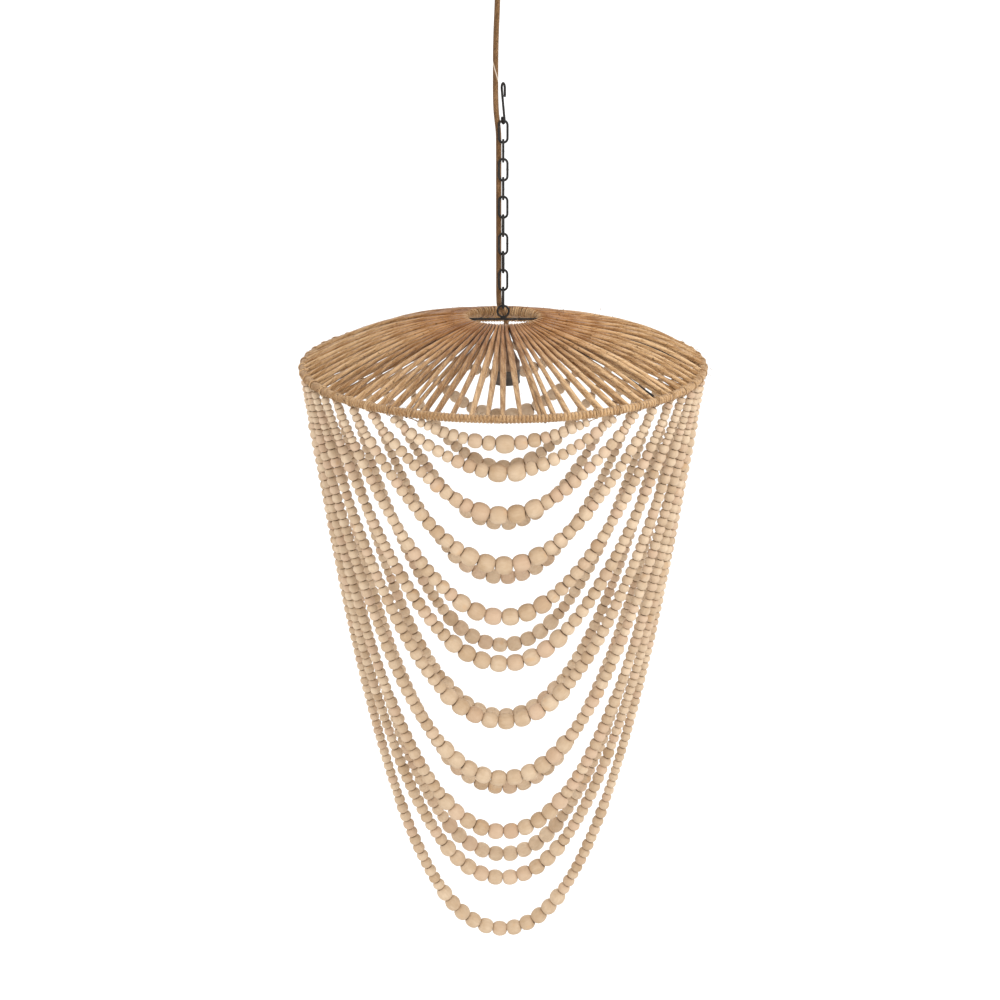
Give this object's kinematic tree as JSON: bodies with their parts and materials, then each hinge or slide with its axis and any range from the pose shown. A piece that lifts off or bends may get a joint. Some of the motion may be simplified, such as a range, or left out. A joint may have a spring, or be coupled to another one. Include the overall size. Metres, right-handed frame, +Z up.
{
  "type": "beaded chandelier",
  "caption": "Hanging light: jute-wrapped cone frame on a chain and S-hook, with loops of round wooden beads draped below its rim in a long taper round a lamp socket",
  "frame": {"origin": "the point where the top bend of the S-hook bears on its ceiling hook, at rest", "axes": "+Z up, -Y the front that the picture shows, +X to the right; the bead strings hang in planes parallel to XZ"},
  "size_m": [0.61, 0.61, 1.6049],
  "materials": {
    "wood_beads": "sanded raw wood, pale, matte",
    "jute": "twisted jute cord, hairy, matte",
    "iron": "dark oiled iron wire, satin",
    "bronze": "dark bronze, satin",
    "brass": "bare brass",
    "phenolic": "moulded phenolic, matte"
  },
  "bodies": {
    "hanger": {"s_hook": "iron", "canopy_dish": "iron", "canopy_collar": "iron", "canopy_cord_grip": "phenolic", "lamp_cord_upper": "jute", "lamp_cord_along_chain": "jute"},
    "chain_link_01": {"chain_link_01": "iron"},
    "chain_link_02": {"chain_link_02": "iron"},
    "chain_link_03": {"chain_link_03": "iron"},
    "chain_link_04": {"chain_link_04": "iron"},
    "chain_link_05": {"chain_link_05": "iron"},
    "chain_link_06": {"chain_link_06": "iron"},
    "chain_link_07": {"chain_link_07": "iron"},
    "chain_link_08": {"chain_link_08": "iron"},
    "chain_link_09": {"chain_link_09": "iron"},
    "chain_link_10": {"chain_link_10": "iron"},
    "shade": {"eye_ring": "iron", "crossbar": "iron", "top_ring": "iron", "rim_ring": "iron", "strut_01": "iron", "strut_02": "iron", "strut_03": "iron", "strut_04": "iron", "strut_05": "iron", "strut_06": "iron", "strut_07": "iron", "strut_08": "iron", "strut_09": "iron", "strut_10": "iron", "jute_shade": "jute", "lamp_cord_lower": "jute"},
    "lamp_socket": {"socket_cap": "bronze", "socket_shell": "iron", "socket_insulator": "phenolic", "socket_thread_shell": "brass", "socket_contact": "brass", "socket_cord_bushing": "phenolic"},
    "bead_string_front_01": {"bead_string_front_01": "wood_beads"},
    "bead_string_back_01": {"bead_string_back_01": "wood_beads"},
    "bead_string_front_02": {"bead_string_front_02": "wood_beads"},
    "bead_string_back_02": {"bead_string_back_02": "wood_beads"},
    "bead_string_front_03": {"bead_string_front_03": "wood_beads"},
    "bead_string_back_03": {"bead_string_back_03": "wood_beads"},
    "bead_string_front_04": {"bead_string_front_04": "wood_beads"},
    "bead_string_back_04": {"bead_string_back_04": "wood_beads"},
    "bead_string_front_05": {"bead_string_front_05": "wood_beads"},
    "bead_string_back_05": {"bead_string_back_05": "wood_beads"},
    "bead_string_front_06": {"bead_string_front_06": "wood_beads"},
    "bead_string_back_06": {"bead_string_back_06": "wood_beads"},
    "bead_string_front_07": {"bead_string_front_07": "wood_beads"},
    "bead_string_back_07": {"bead_string_back_07": "wood_beads"},
    "bead_string_front_08": {"bead_string_front_08": "wood_beads"},
    "bead_string_back_08": {"bead_string_back_08": "wood_beads"},
    "bead_string_front_09": {"bead_string_front_09": "wood_beads"},
    "bead_string_back_09": {"bead_string_back_09": "wood_beads"},
    "bead_string_front_10": {"bead_string_front_10": "wood_beads"},
    "bead_string_back_10": {"bead_string_back_10": "wood_beads"},
    "bead_string_middle": {"bead_string_middle": "wood_beads"}
  },
  "joints": [
    {"name": "chain_link_01_swing", "type": "hinge", "parent": "hanger", "child": "chain_link_01", "pos_m": [0, 0, -0.05275], "axis": [-0.342, 0.9397, 0], "range_deg": [-6, 6], "deforming": ["lamp_cord_along_chain"]},
    {"name": "chain_link_02_swing", "type": "hinge", "parent": "chain_link_01", "child": "chain_link_02", "pos_m": [0, 0, -0.0792], "axis": [1, 0, 0], "range_deg": [-6, 6]},
    {"name": "chain_link_03_swing", "type": "hinge", "parent": "chain_link_02", "child": "chain_link_03", "pos_m": [0, 0, -0.1057], "axis": [0, 1, 0], "range_deg": [-6, 6]},
    {"name": "chain_link_04_swing", "type": "hinge", "parent": "chain_link_03", "child": "chain_link_04", "pos_m": [0, 0, -0.1322], "axis": [1, 0, 0], "range_deg": [-6, 6]},
    {"name": "chain_link_05_swing", "type": "hinge", "parent": "chain_link_04", "child": "chain_link_05", "pos_m": [0, 0, -0.1587], "axis": [0, 1, 0], "range_deg": [-6, 6]},
    {"name": "chain_link_06_swing", "type": "hinge", "parent": "chain_link_05", "child": "chain_link_06", "pos_m": [0, 0, -0.1852], "axis": [1, 0, 0], "range_deg": [-6, 6]},
    {"name": "chain_link_07_swing", "type": "hinge", "parent": "chain_link_06", "child": "chain_link_07", "pos_m": [0, 0, -0.2117], "axis": [0, 1, 0], "range_deg": [-6, 6]},
    {"name": "chain_link_08_swing", "type": "hinge", "parent": "chain_link_07", "child": "chain_link_08", "pos_m": [0, 0, -0.2382], "axis": [1, 0, 0], "range_deg": [-6, 6]},
    {"name": "chain_link_09_swing", "type": "hinge", "parent": "chain_link_08", "child": "chain_link_09", "pos_m": [0, 0, -0.2647], "axis": [0, 1, 0], "range_deg": [-6, 6]},
    {"name": "chain_link_10_swing", "type": "hinge", "parent": "chain_link_09", "child": "chain_link_10", "pos_m": [0, 0, -0.2912], "axis": [1, 0, 0], "range_deg": [-6, 6]},
    {"name": "shade_swing", "type": "hinge", "parent": "chain_link_10", "child": "shade", "pos_m": [0, 0, -0.3177], "axis": [0, 1, 0], "range_deg": [-6, 6]},
    {"name": "socket_sway", "type": "hinge", "parent": "shade", "child": "lamp_socket", "pos_m": [0.0046, 0.0061, -0.34], "axis": [1, 0, 0], "range_deg": [-12, 12], "deforming": ["lamp_cord_lower"]},
    {"name": "string_front_01_swing", "type": "hinge", "parent": "shade", "child": "bead_string_front_01", "pos_m": [0, -0.27271, -0.40625], "axis": [1, 0, 0], "range_deg": [-15, 15]},
    {"name": "string_back_01_swing", "type": "hinge", "parent": "shade", "child": "bead_string_back_01", "pos_m": [0, 0.27271, -0.40625], "axis": [1, 0, 0], "range_deg": [-15, 15]},
    {"name": "string_front_02_swing", "type": "hinge", "parent": "shade", "child": "bead_string_front_02", "pos_m": [0, -0.25691, -0.40625], "axis": [1, 0, 0], "range_deg": [-15, 15]},
    {"name": "string_back_02_swing", "type": "hinge", "parent": "shade", "child": "bead_string_back_02", "pos_m": [0, 0.25691, -0.40625], "axis": [1, 0, 0], "range_deg": [-15, 15]},
    {"name": "string_front_03_swing", "type": "hinge", "parent": "shade", "child": "bead_string_front_03", "pos_m": [0, -0.23771, -0.40625], "axis": [1, 0, 0], "range_deg": [-15, 15]},
    {"name": "string_back_03_swing", "type": "hinge", "parent": "shade", "child": "bead_string_back_03", "pos_m": [0, 0.23771, -0.40625], "axis": [1, 0, 0], "range_deg": [-15, 15]},
    {"name": "string_front_04_swing", "type": "hinge", "parent": "shade", "child": "bead_string_front_04", "pos_m": [0, -0.21537, -0.40625], "axis": [1, 0, 0], "range_deg": [-15, 15]},
    {"name": "string_back_04_swing", "type": "hinge", "parent": "shade", "child": "bead_string_back_04", "pos_m": [0, 0.21537, -0.40625], "axis": [1, 0, 0], "range_deg": [-15, 15]},
    {"name": "string_front_05_swing", "type": "hinge", "parent": "shade", "child": "bead_string_front_05", "pos_m": [0, -0.19019, -0.40625], "axis": [1, 0, 0], "range_deg": [-15, 15]},
    {"name": "string_back_05_swing", "type": "hinge", "parent": "shade", "child": "bead_string_back_05", "pos_m": [0, 0.19019, -0.40625], "axis": [1, 0, 0], "range_deg": [-15, 15]},
    {"name": "string_front_06_swing", "type": "hinge", "parent": "shade", "child": "bead_string_front_06", "pos_m": [0, -0.16249, -0.40625], "axis": [1, 0, 0], "range_deg": [-15, 15]},
    {"name": "string_back_06_swing", "type": "hinge", "parent": "shade", "child": "bead_string_back_06", "pos_m": [0, 0.16249, -0.40625], "axis": [1, 0, 0], "range_deg": [-15, 15]},
    {"name": "string_front_07_swing", "type": "hinge", "parent": "shade", "child": "bead_string_front_07", "pos_m": [0, -0.13265, -0.40625], "axis": [1, 0, 0], "range_deg": [-15, 12]},
    {"name": "string_back_07_swing", "type": "hinge", "parent": "shade", "child": "bead_string_back_07", "pos_m": [0, 0.13265, -0.40625], "axis": [1, 0, 0], "range_deg": [-12, 15]},
    {"name": "string_front_08_swing", "type": "hinge", "parent": "shade", "child": "bead_string_front_08", "pos_m": [0, -0.10105, -0.40625], "axis": [1, 0, 0], "range_deg": [-15, 10]},
    {"name": "string_back_08_swing", "type": "hinge", "parent": "shade", "child": "bead_string_back_08", "pos_m": [0, 0.10105, -0.40625], "axis": [1, 0, 0], "range_deg": [-10, 15]},
    {"name": "string_front_09_swing", "type": "hinge", "parent": "shade", "child": "bead_string_front_09", "pos_m": [0, -0.06812, -0.40625], "axis": [1, 0, 0], "range_deg": [-10, 5]},
    {"name": "string_back_09_swing", "type": "hinge", "parent": "shade", "child": "bead_string_back_09", "pos_m": [0, 0.06812, -0.40625], "axis": [1, 0, 0], "range_deg": [-5, 10]},
    {"name": "string_front_10_swing", "type": "hinge", "parent": "shade", "child": "bead_string_front_10", "pos_m": [0, -0.03429, -0.40625], "axis": [1, 0, 0], "range_deg": [-4, 2.5]},
    {"name": "string_back_10_swing", "type": "hinge", "parent": "shade", "child": "bead_string_back_10", "pos_m": [0, 0.03429, -0.40625], "axis": [1, 0, 0], "range_deg": [-2.5, 4]},
    {"name": "string_middle_swing", "type": "hinge", "parent": "shade", "child": "bead_string_middle", "pos_m": [0, 0, -0.40625], "axis": [1, 0, 0], "range_deg": [-3, 3]}
  ]
}
